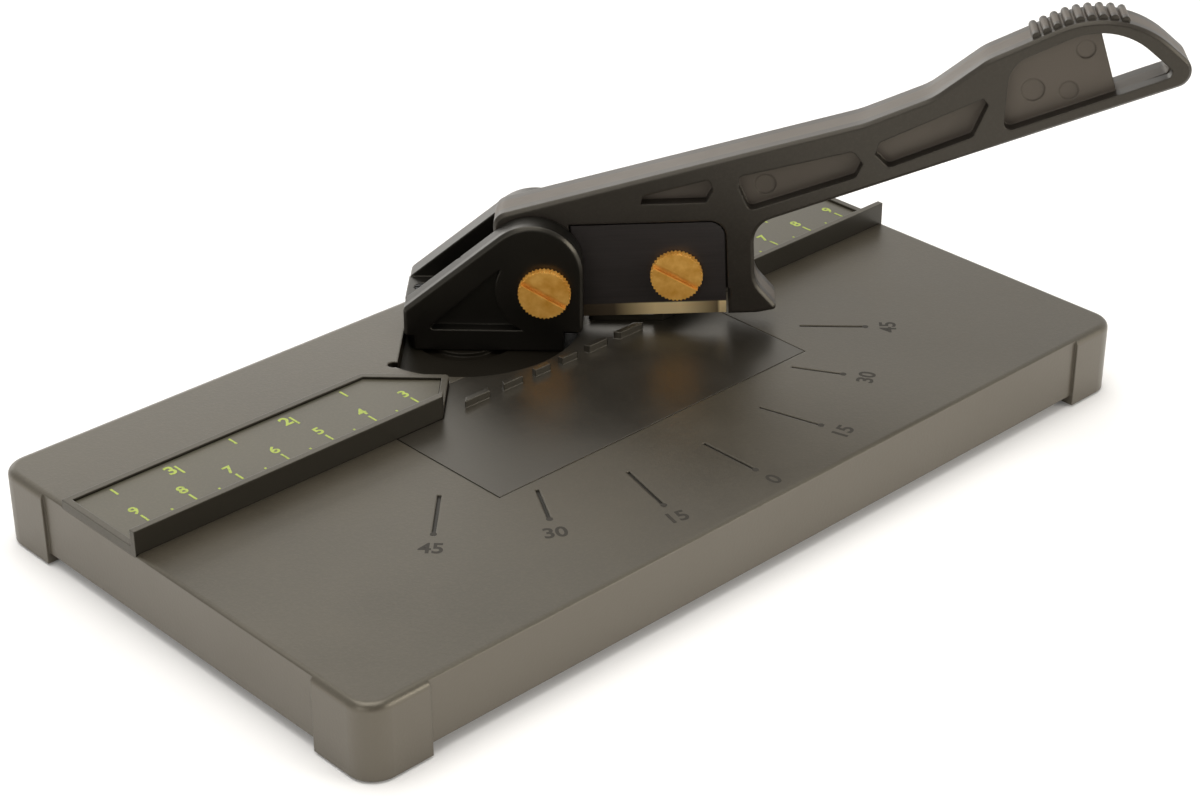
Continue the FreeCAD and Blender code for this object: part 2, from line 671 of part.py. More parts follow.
def make_scale_plate(name, side):
    body = new_body(name)
    corners = inset(fence_corners(side), s.lip_thickness + s.plate_clearance)
    add(body, name + "_sheet", "XY_Plane",
        "sizes.base_height + sizes.plate_height - sizes.plate_thickness",
        "sizes.plate_thickness", [outline(corners)])
    return body


def dash_loop(side, inner):
    """A short fence stretch between two of the slots; its ends follow the planes of the cuts."""
    corners = []
    for y in (s.fence_front, s.fence_front + s.dash_thickness):
        run = s.swivel_back - y
        ends = []
        for step, away in ((inner, 1), (inner + 1, -1)):
            angle = math.radians(step * s.index_angle)
            half = s.outer_slot_half_width if step == INDEX_STEPS[-1] else s.slot_half_width
            ends.append(side * (run * math.tan(angle) + away * half / math.cos(angle)))
        corners.append(ends)
    (a, b), (c, d) = corners
    back = s.fence_front + s.dash_thickness
    return outline([(a, s.fence_front), (b, s.fence_front), (d, back), (c, back)])


def make_insert():
    body = new_body("cutting_insert")
    add(body, "plate", "XY_Plane", "sizes.base_height - sizes.insert_thickness",
        "sizes.insert_thickness", [insert_loop(0, s.plate_clearance)])
    add(body, "dashes", "XY_Plane", "sizes.base_height", "sizes.dash_height",
        [dash_loop(side, inner) for side in (-1, 1) for inner in DASH_STEPS])
    peg_length = "sizes.floor_thickness + sizes.recess_depth - sizes.insert_thickness - sizes.slip_gap"
    add(body, "pegs", "XY_Plane", "sizes.base_height - sizes.insert_thickness", peg_length,
        [circle(x, y, s.peg_radius) for x, y in peg_places()], backwards=True)
    cut(body, "peg_pilots", "XY_Plane", "sizes.base_height - sizes.recess_depth - sizes.floor_thickness",
        "sizes.insert_screw_length", [circle(x, y, s.peg_hole_radius) for x, y in peg_places()],
        backwards=True)
    return body


def make_insert_screws():
    screws = []
    for number, (x, y) in enumerate(peg_places(), start=1):
        name = "insert_screw_%d" % number
        head = cylinder(name + "_head", "sizes.insert_screw_head_radius",
                        "sizes.insert_screw_head_height",
                        Placement(Vector(x, y, deck_low - s.insert_screw_head_height), UPRIGHT))
        shank = cylinder(name + "_shank", "sizes.insert_screw_radius", "sizes.insert_screw_length",
                         Placement(Vector(x, y, deck_low - s.slip_gap), UPRIGHT))
        screw = doc.addObject("Part::Fuse", name)
        screw.Base = head
        screw.Tool = shank
        screws.append(screw)
    return group("insert_screws", screws)


def make_foot_pads():
    pads = []
    for number, (x, y) in enumerate(pad_places(), start=1):
        pad = doc.addObject("Part::Box", "foot_pad_%d" % number)
        pad.setExpression("Length", "sizes.pad_width")
        pad.setExpression("Width", "sizes.pad_width")
        pad.setExpression("Height", "sizes.pad_thickness")
        pad.Placement = Placement(Vector(x - s.pad_width / 2, y - s.pad_width / 2, 0), UPRIGHT)
        pads.append(pad)
    return group("foot_pads", pads)


# The turret, in its own frame: X along the blade, Y away from it, Z up from the deck


def foot_loop():
    """Plan of the foot: square in front, round behind the swivel axis to clear the recess."""
    back_radius = s.recess_flank - s.running_gap
    corner_y = math.sqrt(s.foot_front_radius ** 2 - s.foot_front ** 2)
    corner_x = math.sqrt(s.foot_front_radius ** 2 - s.foot_far ** 2)
    far_x = math.sqrt(back_radius ** 2 - s.foot_far ** 2)
    near_x = -math.sqrt(back_radius ** 2 - s.ear_near_outer ** 2)
    points = [Vector(x, y, 0) for x, y in
              ((near_x, -s.ear_near_outer), (s.foot_front, -s.ear_near_outer),
               (s.foot_front, min(corner_y, s.foot_far)), (min(corner_x, s.foot_front), s.foot_far),
               (far_x, s.foot_far))]
    lines = [Part.LineSegment(a, b) for a, b in zip(points, points[1:]) if (b - a).Length > Precision]
    return lines + [Part.Arc(points[-1], Vector(-back_radius, 0, 0), points[0])]


def ear_loop(chin):
    return outline([(-s.ear_back, s.running_gap),
                    (-s.ear_back, s.ear_back_height, s.ear_corner_radius),
                    (s.ear_front, s.ear_peak_height, s.ear_crown_radius),
                    (s.ear_front, chin, s.ear_corner_radius),
                    (s.foot_front, chin),
                    (s.foot_front, s.running_gap)])


def window_loop():
    """The three-cornered recess of the near ear; its front side runs round the pivot."""
    pivot = Vector(s.pivot_front, s.pivot_height, 0)
    low_run = math.sqrt(s.window_radius ** 2 - (s.pivot_height - s.window_low) ** 2)
    top_run = math.sqrt(s.window_radius ** 2 - (s.window_top - s.pivot_height) ** 2)
    top = Vector(min(s.window_top_front, s.pivot_front - top_run), s.window_top, 0)
    arc_top = Vector(s.pivot_front - top_run, s.window_top, 0)
    low = Vector(s.pivot_front - low_run, s.window_low, 0)
    back = Vector(-s.window_back, s.window_low, 0)
    middle = pivot - X_AXIS * s.window_radius
    start, crown, end, centre = rounded_corner(low, back, top, s.window_corner_radius)
    shapes = [Part.Arc(arc_top, middle, low), Part.LineSegment(low, start),
              Part.Arc(start, crown, end), Part.LineSegment(end, top)]
    if (arc_top - top).Length > Precision:
        shapes.append(Part.LineSegment(top, arc_top))
    return shapes


def make_turret():
    body = new_body("turret", HEAD)
    add(body, "foot", "XY_Plane", "sizes.running_gap - sizes.recess_depth", "sizes.recess_depth",
        [foot_loop()])
    add(body, "near_ear", "XZ_Plane", "sizes.ear_near_inner",
        "sizes.ear_near_outer - sizes.ear_near_inner", [ear_loop(s.chin_height)])
    add(body, "far_ear", "XZ_Plane", "-sizes.ear_far_outer",
        "sizes.ear_far_outer - sizes.ear_far_inner", [ear_loop(s.dash_height + s.running_gap)])
    for name, face in (("near", -s.ear_near_outer), ("far", s.ear_far_outer)):
        dress_edges(body, name + "_ear_bevel", "Chamfer", "sizes.ear_bevel",
                    lambda edge: at_level(edge, "y", face)
                    and edge.BoundBox.ZMax > s.ear_corner_radius + s.dash_height)
    inner_near = -s.ear_near_inner
    cut(body, "web_floor", "XY_Plane", "sizes.running_gap", "sizes.running_gap + sizes.web_height",
        [rectangle(s.seat_front, inner_near, s.foot_front + s.overrun, s.ear_far_inner)])
    add(body, "bolt_seat", "XY_Plane", "0", "sizes.seat_height",
        [rectangle(-s.ear_back, inner_near, s.seat_front, s.ear_far_inner)])
    add(body, "back_bridge", "XY_Plane", "0", "sizes.bridge_height",
        [rectangle(-s.ear_back, inner_near, -s.bridge_front, s.ear_far_inner)])
    cut(body, "bolt_head_relief", "XY_Plane", "sizes.seat_height",
        "sizes.bridge_height - sizes.seat_height",
        [circle(0, 0, s.swivel_head_radius + s.running_gap)], backwards=True)
    cut(body, "swivel_hole", "XY_Plane", "sizes.base_height", "2 * sizes.base_height",
        [circle(0, 0, s.swivel_bolt_radius + s.slip_gap)])
    cut(body, "bearing_seat", "XY_Plane", "-sizes.recess_depth",
        "sizes.bearing_thickness + sizes.slip_gap",
        [circle(0, 0, s.bearing_radius + s.running_gap)], backwards=True)
    cut(body, "index_bore", "XY_Plane", "sizes.base_height", "2 * sizes.base_height",
        [circle(-s.index_back, s.index_aside, s.index_pin_radius + s.index_clearance)])
    cut(body, "ear_window", "XZ_Plane", "sizes.ear_near_outer", "sizes.window_depth", [window_loop()])
    cut(body, "pivot_bore", "XZ_Plane", "sizes.ear_near_outer + sizes.overrun",
        "sizes.ear_near_outer + sizes.ear_far_outer + 2 * sizes.overrun",
        [circle(s.pivot_front, s.pivot_height, s.pivot_radius + s.pivot_clearance)])
    cut(body, "nut_seat", "XZ_Plane", "-sizes.ear_far_outer", "sizes.pivot_nut_height",
        [hexagon(s.pivot_front, s.pivot_height, s.pivot_nut_radius + s.nut_clearance)],
        backwards=True)
    return body


def head_place(x, y, z, rotation=UPRIGHT):
    return HEAD * Placement(Vector(x, y, z), rotation)


def make_swivel_bolt():
    body = new_body("swivel_bolt", HEAD)
    add(body, "bolt_head", "XY_Plane", "sizes.seat_height", "sizes.swivel_head_height",
        [circle(0, 0, s.swivel_head_radius)])
    stack = ("sizes.seat_height + sizes.recess_depth + sizes.floor_thickness + sizes.slip_gap"
             " + sizes.flat_washer_thickness + sizes.spring_washer_thickness"
             " + sizes.swivel_nut_height + sizes.bolt_end")
    add(body, "bolt_shank", "XY_Plane", "sizes.seat_height", stack,
        [circle(0, 0, s.swivel_bolt_radius)], backwards=True)
    cut(body, "bolt_socket", "XY_Plane", "sizes.seat_height + sizes.swivel_head_height",
        "sizes.swivel_socket_depth", [hexagon(0, 0, s.swivel_socket_radius)])
    return body


def make_spring_washer(label, level):
    body = new_body(label, HEAD * Placement(Vector(0, 0, level), UPRIGHT))
    add(body, "coil", "XY_Plane", "0", "sizes.spring_washer_thickness",
        [circle(0, 0, s.spring_washer_radius), circle(0, 0, s.swivel_bolt_radius + s.slip_gap)])
    half = s.spring_washer_split / 2
    cut(body, "split", "XY_Plane", "0", "sizes.spring_washer_thickness",
        [rectangle(0, -half, s.spring_washer_radius + s.overrun, half)], backwards=True)
    return body


def make_swivel_stack():
    washer_level = deck_underside - s.slip_gap - s.flat_washer_thickness
    spring_level = washer_level - s.spring_washer_thickness
    nut_level = spring_level - s.swivel_nut_height
    bore = "sizes.swivel_bolt_radius + sizes.slip_gap"
    return [
        ring("bearing_washer", "sizes.bearing_radius",
             "sizes.swivel_bolt_radius + sizes.swivel_bolt_clearance",
             "sizes.bearing_thickness", head_place(0, 0, -s.recess_depth)),
        ring("swivel_washer", "sizes.flat_washer_radius", bore, "sizes.flat_washer_thickness",
             head_place(0, 0, washer_level)),
        make_spring_washer("swivel_spring_washer", spring_level),
        nut("swivel_nut", "sizes.swivel_nut_radius", bore, "sizes.swivel_nut_height",
            head_place(0, 0, nut_level)),
    ]


def make_index_pin():
    body = new_body("index_pin", head_place(-s.index_back, s.index_aside, index_pin_foot))
    add(body, "pin", "XY_Plane", "0", "sizes.index_pin_length", [circle(0, 0, s.index_pin_radius)])
    dress_edges(body, "pin_nose", "Chamfer", "sizes.index_pin_nose", lambda edge: at_level(edge, "z", 0))
    return body


def make_index_spring():
    """The spring between the pin and the plug, as the sleeve that its coils fill."""
    length = ("sizes.bridge_height - sizes.plug_length + sizes.recess_depth + sizes.index_pin_sink"
              " - sizes.index_pin_length")
    return ring("index_spring", "sizes.spring_radius", "sizes.spring_bore", length,
                head_place(-s.index_back, s.index_aside, index_pin_foot + s.index_pin_length))


def make_index_plug():
    body = new_body("index_plug", head_place(-s.index_back, s.index_aside, s.bridge_height))
    add(body, "plug", "XY_Plane", "0", "sizes.plug_length", [circle(0, 0, s.index_pin_radius)],
        backwards=True)
    half = s.plug_slot_width / 2
    run = s.index_pin_radius + s.overrun
    cut(body, "plug_slot", "XY_Plane", "0", "sizes.plug_slot_depth",
        [rectangle(-run, -half, run, half)])
    return body


# The lever, in its own frame: X along the lever, Y away from the cut plane, Z up from the pivot


def rib_loops():
    """Grip ribs that follow the straight and then the round top of the grip."""
    corners = [Vector(*(share * s.grip_reach for share in corner[:2]), 0)
               for corner in LEVER_OUTLINE_SHARES[TOP_OF_GRIP - 1:TOP_OF_GRIP + 2]]
    radius = LEVER_OUTLINE_SHARES[TOP_OF_GRIP][2] * s.grip_reach
    start, middle, end, centre = rounded_corner(corners[0], corners[1], corners[2], radius)
    along = (corners[1] - corners[0]).normalize()
    upward = Z_AXIS.cross(along)
    first = (FIRST_RIB_SHARE * s.grip_reach - start.x) / along.x
    ribs = []
    for number in range(RIB_COUNT):
        distance = first + number * s.rib_pitch
        if distance < 0:
            place = start + along * distance + upward * s.rib_rise
        else:
            turned = Rotation(Z_AXIS, -math.degrees(distance / radius)).multVec(start - centre)
            place = centre + turned * (1 + s.rib_rise / radius)
        ribs.append(circle(place.x, place.y, s.rib_radius))
    return ribs


def make_lever():
    body = new_body("lever_arm", LEVER)
    thickness = "sizes.lever_near + sizes.lever_far"
    add(body, "arm", "XZ_Plane", "-sizes.lever_far", thickness, [of_grip(LEVER_OUTLINE_SHARES)])
    dress_edges(body, "arm_edges", "Chamfer", "sizes.lever_bevel",
                lambda edge: at_level(edge, "y", -s.lever_near) or at_level(edge, "y", s.lever_far))
    add(body, "lobe", "XZ_Plane", "-sizes.lever_far", thickness, [circle(0, 0, s.lobe_radius)])
    rib_length = thickness + " - 4 * sizes.lever_bevel"
    add(body, "grip_ribs", "XZ_Plane", "2 * sizes.lever_bevel - sizes.lever_far", rib_length,
        rib_loops())
    seat_back = s.blade_back - s.blade_clearance
    seat_right = s.blade_front + s.blade_clearance
    seat_top = s.blade_top + s.blade_clearance
    below = -s.lobe_radius - s.overrun
    cut(body, "blade_seat", "XZ_Plane", "sizes.lever_near", "sizes.lever_near",
        [outline([(seat_back, below), (seat_right, below),
                  (seat_right, seat_top, s.blade_corner_radius + s.blade_clearance),
                  (seat_back, seat_top)])])
    pockets = [of_grip(shares) for shares in POCKET_SHARES]
    cut(body, "near_pockets", "XZ_Plane", "sizes.lever_near", "sizes.pocket_depth", pockets)
    cut(body, "far_pockets", "XZ_Plane", "-sizes.lever_far", "sizes.pocket_depth", pockets,
        backwards=True)
    marks = [circle(*(share * s.grip_reach for share in mark)) for mark in EJECTOR_SHARES]
    cut(body, "ejector_marks", "XZ_Plane", "sizes.lever_near - sizes.pocket_depth",
        "sizes.ejector_depth", marks)
    cut(body, "finger_loop", "XZ_Plane", "sizes.lever_near", thickness, [of_grip(FINGER_LOOP_SHARES)])
    cut(body, "bush_bore", "XZ_Plane", "sizes.lever_near", thickness,
        [circle(0, 0, s.bush_radius + s.bush_clearance)])
    cut(body, "clamp_hole", "XZ_Plane", "sizes.lever_near", thickness,
        [circle(s.clamp_front, s.clamp_height, s.clamp_radius + s.clamp_clearance)])
    cut(body, "clamp_nut_seat", "XZ_Plane", "-sizes.lever_far", "sizes.clamp_nut_height",
        [hexagon(s.clamp_front, s.clamp_height, s.clamp_nut_radius + s.nut_clearance)],
        backwards=True)
    return body


def make_blade():
    body = new_body("blade", LEVER)
    near = -s.blade_thickness
    profile = [(0, -s.blade_drop), (0, s.blade_top), (near, s.blade_top),
               (near, s.bevel_height - s.blade_drop), (-s.edge_width, -s.blade_drop)]
    add(body, "steel", "YZ_Plane", "sizes.blade_back", "sizes.blade_front - sizes.blade_back",
        [outline(profile)])
    dress_edges(body, "blade_corner", "Fillet", "sizes.blade_corner_radius",
                lambda edge: at_level(edge, "x", s.blade_front) and at_level(edge, "z", s.blade_top))
    cut(body, "blade_hole", "XZ_Plane", "sizes.blade_thickness", "sizes.blade_thickness",
        [circle(s.clamp_front, s.clamp_height, s.clamp_radius + s.clamp_clearance)])
    return body


# Thumb screws: the head rises along Z from the face that it clamps


def make_thumb_screw(label, radius_alias, shank_length, placement):
    body = new_body(label, placement)
    add(body, label + "_head", "XY_Plane", "0", "sizes.thumb_height",
        [toothed(s.thumb_radius, s.tooth_depth, TOOTH_COUNT)])
    add(body, label + "_shank", "XY_Plane", "0", shank_length,
        [circle(0, 0, getattr(s, radius_alias))], backwards=True)
    half = s.thumb_slot_width / 2
    run = s.thumb_radius + s.overrun
    turned = Rotation(Z_AXIS, -s.thumb_slot_angle)
    corners = [turned.multVec(Vector(x, y, 0)) for x, y in
               ((-run, -half), (run, -half), (run, half), (-run, half))]
    cut(body, label + "_slot", "XY_Plane", "sizes.thumb_height", "sizes.thumb_slot_depth",
        [outline([(corner.x, corner.y) for corner in corners])])
    return body


def make_pivot_parts():
    """Pivot screw, nut and bush, square to the ears."""
    def at_pivot(face):
        return head_place(s.pivot_front, face, s.pivot_height, TOWARDS_NEAR)

    return [
        make_thumb_screw("pivot_screw", "pivot_radius", "sizes.ear_near_outer + sizes.ear_far_outer",
                         at_pivot(-s.ear_near_outer)),
        nut("pivot_nut", "sizes.pivot_nut_radius", "sizes.pivot_radius + sizes.slip_gap",
            "sizes.pivot_nut_height", at_pivot(s.ear_far_outer)),
        ring("pivot_bush", "sizes.bush_radius", "sizes.pivot_radius + sizes.pivot_clearance",
             "sizes.lever_near + sizes.lever_far + 2 * sizes.bush_proud",
             at_pivot(s.lever_far + s.bush_proud)),
    ]


def make_clamp_parts():
    def at_clamp(face):
        return LEVER * Placement(Vector(s.clamp_front, face, s.clamp_height), TOWARDS_NEAR)

    return [
        make_thumb_screw("clamp_screw", "clamp_radius", "sizes.blade_thickness + sizes.lever_far",
                         at_clamp(-s.blade_thickness)),
        nut("clamp_nut", "sizes.clamp_nut_radius", "sizes.clamp_radius + sizes.slip_gap",
            "sizes.clamp_nut_height", at_clamp(s.lever_far)),
    ]


parts = [make_base(), make_insert(), make_insert_screws(), make_foot_pads(),
         make_fence("left_fence", -1), make_fence("right_fence", 1),
         make_scale_plate("left_scale_plate", -1), make_scale_plate("right_scale_plate", 1),
         make_turret(), make_swivel_bolt()]
parts += make_swivel_stack()
parts += [make_index_pin(), make_index_spring(), make_index_plug(), make_lever(), make_blade()]
parts += make_pivot_parts()
parts += make_clamp_parts()
doc.recompute()

# Checks before anything is written

faults = []
for item in doc.Objects:
    if "Invalid" in item.State or "Error" in item.State:
        faults.append("%s did not build" % item.Name)
    if item.TypeId == "PartDesign::Pocket":
        if not item.Shape.Volume < item.BaseFeature.Shape.Volume:
            faults.append("%s cuts nothing" % item.Name)
for part in parts:
    if part.Shape.isNull() or not part.Shape.isValid():
        faults.append("%s has no valid shape" % part.Label)
if faults:
    raise RuntimeError("; ".join(faults))

os.makedirs("parts", exist_ok=True)
for part in parts:
    part.Shape.exportStep("parts/%s.step" % part.Label)
    print("%-22s %2d solids %10.1f mm3" % (part.Label, len(part.Shape.Solids), part.Shape.Volume))
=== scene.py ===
import json
import math

import bmesh
import bpy
from mathutils import Matrix, Vector


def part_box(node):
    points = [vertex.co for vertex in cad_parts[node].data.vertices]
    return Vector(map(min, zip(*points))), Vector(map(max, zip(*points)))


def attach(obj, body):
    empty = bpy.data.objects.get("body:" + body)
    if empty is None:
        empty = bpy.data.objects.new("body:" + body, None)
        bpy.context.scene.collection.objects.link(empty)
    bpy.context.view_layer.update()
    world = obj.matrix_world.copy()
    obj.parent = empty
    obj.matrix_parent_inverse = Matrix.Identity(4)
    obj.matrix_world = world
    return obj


# A small black mitre guillotine on a white surface: materials, printed scales, angle numerals,
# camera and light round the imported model.

MM = 0.001

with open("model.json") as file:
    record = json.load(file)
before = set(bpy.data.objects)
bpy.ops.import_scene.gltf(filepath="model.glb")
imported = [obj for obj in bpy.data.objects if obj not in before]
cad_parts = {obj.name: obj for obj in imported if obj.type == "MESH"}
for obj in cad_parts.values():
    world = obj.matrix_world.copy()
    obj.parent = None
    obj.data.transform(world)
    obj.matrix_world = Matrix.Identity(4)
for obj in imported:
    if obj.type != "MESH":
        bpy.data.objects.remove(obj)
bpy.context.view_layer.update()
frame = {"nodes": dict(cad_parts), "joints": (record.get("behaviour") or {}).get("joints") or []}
scene = bpy.context.scene
nodes = frame["nodes"]

# Places and directions of the frame, with cut_point in the blade's upright cutting plane

UP = Vector((0, 0, 1))
BACKWARD = Vector((0, 1, 0))
REST_TILT = math.radians(2.6)

joints = {joint["name"]: joint for joint in frame["joints"]}
swivel = Vector(joints["head_swivel"]["pos_m"])
lever_axis = Vector(joints["lever_pivot"]["axis"]).normalized()
pivot = Vector(joints["pivot_screw_turn"]["pos_m"])
clamp = Vector(joints["clamp_screw_turn"]["pos_m"])
away = lever_axis * -1
level = UP.cross(lever_axis)
lever_along = level * math.cos(REST_TILT) + UP * math.sin(REST_TILT)
lever_up = UP * math.cos(REST_TILT) - level * math.sin(REST_TILT)
cut_point = Vector((swivel.x, swivel.y, 0))
fence_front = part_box("left_fence")[0].y


# Helpers for shader nodes

NOISE_ROUGHNESS = 0.6
NOISE_MIDDLE = (0.3, 0.7)


class Graph:
    """Adds shader nodes to an emptied node tree and joins their sockets."""

    def __init__(self, tree):
        self.tree = tree
        tree.nodes.clear()

    def add(self, kind, **settings):
        node = self.tree.nodes.new(kind)
        for key, value in settings.items():
            setattr(node, key, value)
        return node

    def link(self, source, target):
        self.tree.links.new(source, target)

    def value(self, socket, content):
        """Sets a socket to a constant, or links it to another socket."""
        if isinstance(content, bpy.types.NodeSocket):
            self.link(content, socket)
        else:
            socket.default_value = content

    def math(self, operation, first, second=0.0):
        node = self.add("ShaderNodeMath", operation=operation)
        self.value(node.inputs[0], first)
        self.value(node.inputs[1], second)
        return node.outputs[0]

    def vector_math(self, operation, first, second=(0, 0, 0)):
        node = self.add("ShaderNodeVectorMath", operation=operation)
        self.value(node.inputs[0], first)
        self.value(node.inputs[1], second)
        return node.outputs["Value" if operation in ("DOT_PRODUCT", "LENGTH") else "Vector"]

    def ramp(self, source, low, high, low_at=0.0, high_at=1.0):
        """Maps a source from one range to values between low and high."""
        node = self.add("ShaderNodeMapRange", clamp=True)
        self.link(source, node.inputs["Value"])
        node.inputs["From Min"].default_value = low_at
        node.inputs["From Max"].default_value = high_at
        node.inputs["To Min"].default_value = low
        node.inputs["To Max"].default_value = high
        return node.outputs["Result"]

    def window(self, source, low, high, soft):
        """One between two values of a source, zero outside them."""
        rising = self.ramp(source, 0.0, 1.0, low - soft, low + soft)
        falling = self.ramp(source, 1.0, 0.0, high - soft, high + soft)
        return self.math("MULTIPLY", rising, falling)

    def mix(self, factor, first, second):
        node = self.add("ShaderNodeMix", data_type="RGBA")
        self.value(node.inputs["Factor"], factor)
        self.value(node.inputs[6], first)
        self.value(node.inputs[7], second)
        return node.outputs[2]


class Surface(Graph):
    """The graph of a new material with one principled shader."""

    def __init__(self, name):
        self.material = bpy.data.materials.new(name)
        self.material.use_nodes = True
        super().__init__(self.material.node_tree)
        self.shader = self.add("ShaderNodeBsdfPrincipled")
        output = self.add("ShaderNodeOutputMaterial")
        self.link(self.shader.outputs["BSDF"], output.inputs["Surface"])
        self.object_space = self.add("ShaderNodeTexCoord").outputs["Object"]

    def put(self, socket_name, content):
        self.value(self.shader.inputs[socket_name], content)

    def noise(self, scale, detail, vector=None):
        """A noise over object space, or over a vector of its own."""
        node = self.add("ShaderNodeTexNoise")
        self.link(self.object_space if vector is None else vector, node.inputs["Vector"])
        node.inputs["Scale"].default_value = scale
        node.inputs["Detail"].default_value = detail
        node.inputs["Roughness"].default_value = NOISE_ROUGHNESS
        return node.outputs["Fac"]

    def contrast(self, noise, low, high):
        """Spreads the middle of a noise over values between low and high."""
        return self.ramp(noise, low, high, *NOISE_MIDDLE)

    def bump(self, height, strength, depth, normal=None):
        node = self.add("ShaderNodeBump")
        node.inputs["Strength"].default_value = strength
        node.inputs["Distance"].default_value = depth
        self.link(height, node.inputs["Height"])
        if normal is not None:
            self.link(normal, node.inputs["Normal"])
        self.put("Normal", node.outputs["Normal"])

    def bevel(self, radius):
        node = self.add("ShaderNodeBevel", samples=4)
        node.inputs["Radius"].default_value = radius
        return node.outputs["Normal"]

    def distance_along(self, origin, axis):
        """How far a point lies from an origin along an axis."""
        offset = self.vector_math("SUBTRACT", self.object_space, tuple(origin))
        return self.vector_math("DOT_PRODUCT", offset, tuple(axis))

    def distance_from(self, origin, axis):
        """How far a point lies from an axis through an origin."""
        offset = self.vector_math("SUBTRACT", self.object_space, tuple(origin))
        height = self.vector_math("DOT_PRODUCT", offset, tuple(axis))
        along = self.add("ShaderNodeVectorMath", operation="SCALE")
        along.inputs[0].default_value = tuple(axis)
        self.link(height, along.inputs["Scale"])
        flat = self.vector_math("SUBTRACT", offset, along.outputs["Vector"])
        return self.vector_math("LENGTH", flat)


def rgb(red, green, blue):
    return (red, green, blue, 1.0)


def shade(colour, factor):
    return rgb(*(channel * factor for channel in colour))


# Moulded plastic

WARM_GLOSS = rgb(1.0, 0.93, 0.78)
SPARK_SCALE = 1900.0
SPARK_DEPTH = 0.05 * MM
SPARKLE_SHARE = 0.5
SPARKLE_RANGE = (0.45, 0.75)
SPARKLE_FACTOR = 1.7
MOTTLE_SCALE = 45.0
SMOOTHER = 0.04
ROUGHER = 0.05
LIFT_ROUGHER = 0.12
SOFT_LIMIT = 0.1 * MM
PLAIN_SPECULAR = 0.5
HOLLOW_SPECULAR = 0.16
EDGE_SHADE_RANGE = (0.90, 0.99)
EDGE_SHADE_FACTOR = 0.08


def moulding(name, colour, roughness, grain=0.1, edge=0.35 * MM, mottling=0.18, ior=1.52,
             face_shading=None, pocket_shading=None, hollow_shade=None, edge_shade=None):
    """Moulded plastic: a fine spark texture, uneven gloss and softly rounded edges.

    face_shading is (axis, start, full, colour): painted light and shade by the way a face is turned,
    the colour of the faces whose normal's part along the axis passes from start to full.
    pocket_shading is (origin, axis, low, high, factor): between two distances along the axis, as in
    the pockets of a moulding, the surface is rougher and its colour is multiplied by the factor, as
    painted light where the factor is above one and as painted shade where it is below one.
    hollow_shade is (centre, radius, back, factor): within the radius of an upright axis through the
    centre, below the centre and no further back than given, as in engraved lines and recesses, the
    colour is multiplied by the factor as painted shade and the surface reflects less.
    edge_shade is the width of a line of painted shade along the edges.
    """
    g = Surface(name)
    fine = g.noise(SPARK_SCALE, 2.0)
    broad = g.noise(MOTTLE_SCALE, 4.0)
    tone = g.mix(g.contrast(broad, 0, 1), shade(colour, 1 - mottling), shade(colour, 1 + mottling))
    sparkle = g.ramp(fine, 0.0, SPARKLE_SHARE, *SPARKLE_RANGE)
    tone = g.mix(sparkle, tone, shade(colour, SPARKLE_FACTOR))
    rough = g.contrast(broad, roughness - SMOOTHER, roughness + ROUGHER)
    face_normal = g.add("ShaderNodeNewGeometry").outputs["True Normal"]
    # Painted light and shade: faces turned one way take another colour.
    if face_shading is not None:
        axis, start, full, side_shading = face_shading
        turned = g.ramp(g.vector_math("DOT_PRODUCT", face_normal, tuple(axis)), 0.0, 1.0, start, full)
        tone = g.mix(turned, tone, rgb(*side_shading))
    # Painted light and shade: a band of the surface gets a lighter or darker colour.
    if pocket_shading is not None:
        origin, axis, low, high, factor = pocket_shading
        inside = g.window(g.distance_along(origin, axis), low, high, SOFT_LIMIT / 2)
        tone = g.mix(inside, tone, shade(colour, factor))
        rough = g.math("ADD", rough, g.math("MULTIPLY", inside, LIFT_ROUGHER))
    # Painted shade in recesses and engraved lines below the deck.
    if hollow_shade is not None:
        centre, radius, back, factor = hollow_shade
        offset = g.vector_math("SUBTRACT", g.object_space, tuple(centre))
        reach = g.vector_math("LENGTH", g.vector_math("MULTIPLY", offset, (1, 1, 0)))
        near = g.ramp(reach, 1.0, 0.0, radius, radius + SOFT_LIMIT)
        below = g.ramp(g.distance_along(centre, UP), 1.0, 0.0, -3 * SOFT_LIMIT, -SOFT_LIMIT)
        before = g.ramp(g.distance_along(centre, BACKWARD), 1.0, 0.0, back, back + SOFT_LIMIT)
        inside = g.math("MULTIPLY", g.math("MULTIPLY", near, below), before)
        tone = g.mix(inside, tone, shade(colour, factor))
        g.put("Specular IOR Level", g.ramp(inside, PLAIN_SPECULAR, HOLLOW_SPECULAR))
    # Painted shade: a dark line along the edges.
    if edge_shade is not None:
        agreement = g.vector_math("DOT_PRODUCT", g.bevel(edge_shade), face_normal)
        shaded_edge = g.ramp(agreement, 1.0, 0.0, *EDGE_SHADE_RANGE)
        tone = g.mix(shaded_edge, tone, shade(colour, EDGE_SHADE_FACTOR))
    g.put("Base Color", tone)
    g.put("Roughness", rough)
    g.put("IOR", ior)
    g.put("Specular Tint", WARM_GLOSS)
    g.bump(fine, grain, SPARK_DEPTH, g.bevel(edge))
    return g.material


def engraved(name, colour):
    """The floor of a shallow engraving: the deck's plastic with less light on it."""
    g = Surface(name)
    fine = g.noise(SPARK_SCALE, 2.0)
    g.put("Base Color", g.mix(fine, shade(colour, 0.8), shade(colour, 1.2)))
    g.put("Roughness", 0.65)
    g.put("IOR", 1.4)
    g.bump(fine, 0.15, SPARK_DEPTH)
    return g.material


INK_SCALE = 1800.0
INK_GAPS = (0.30, 0.50)
RUBBER_SCALE = 1500.0


def printed_ink(name, colour):
    g = Surface(name)
    worn = g.ramp(g.noise(INK_SCALE, 3.0), 0.0, 1.0, *INK_GAPS)
    g.put("Base Color", g.mix(worn, shade(colour, 0.55), rgb(*colour)))
    g.put("Roughness", 0.5)
    return g.material


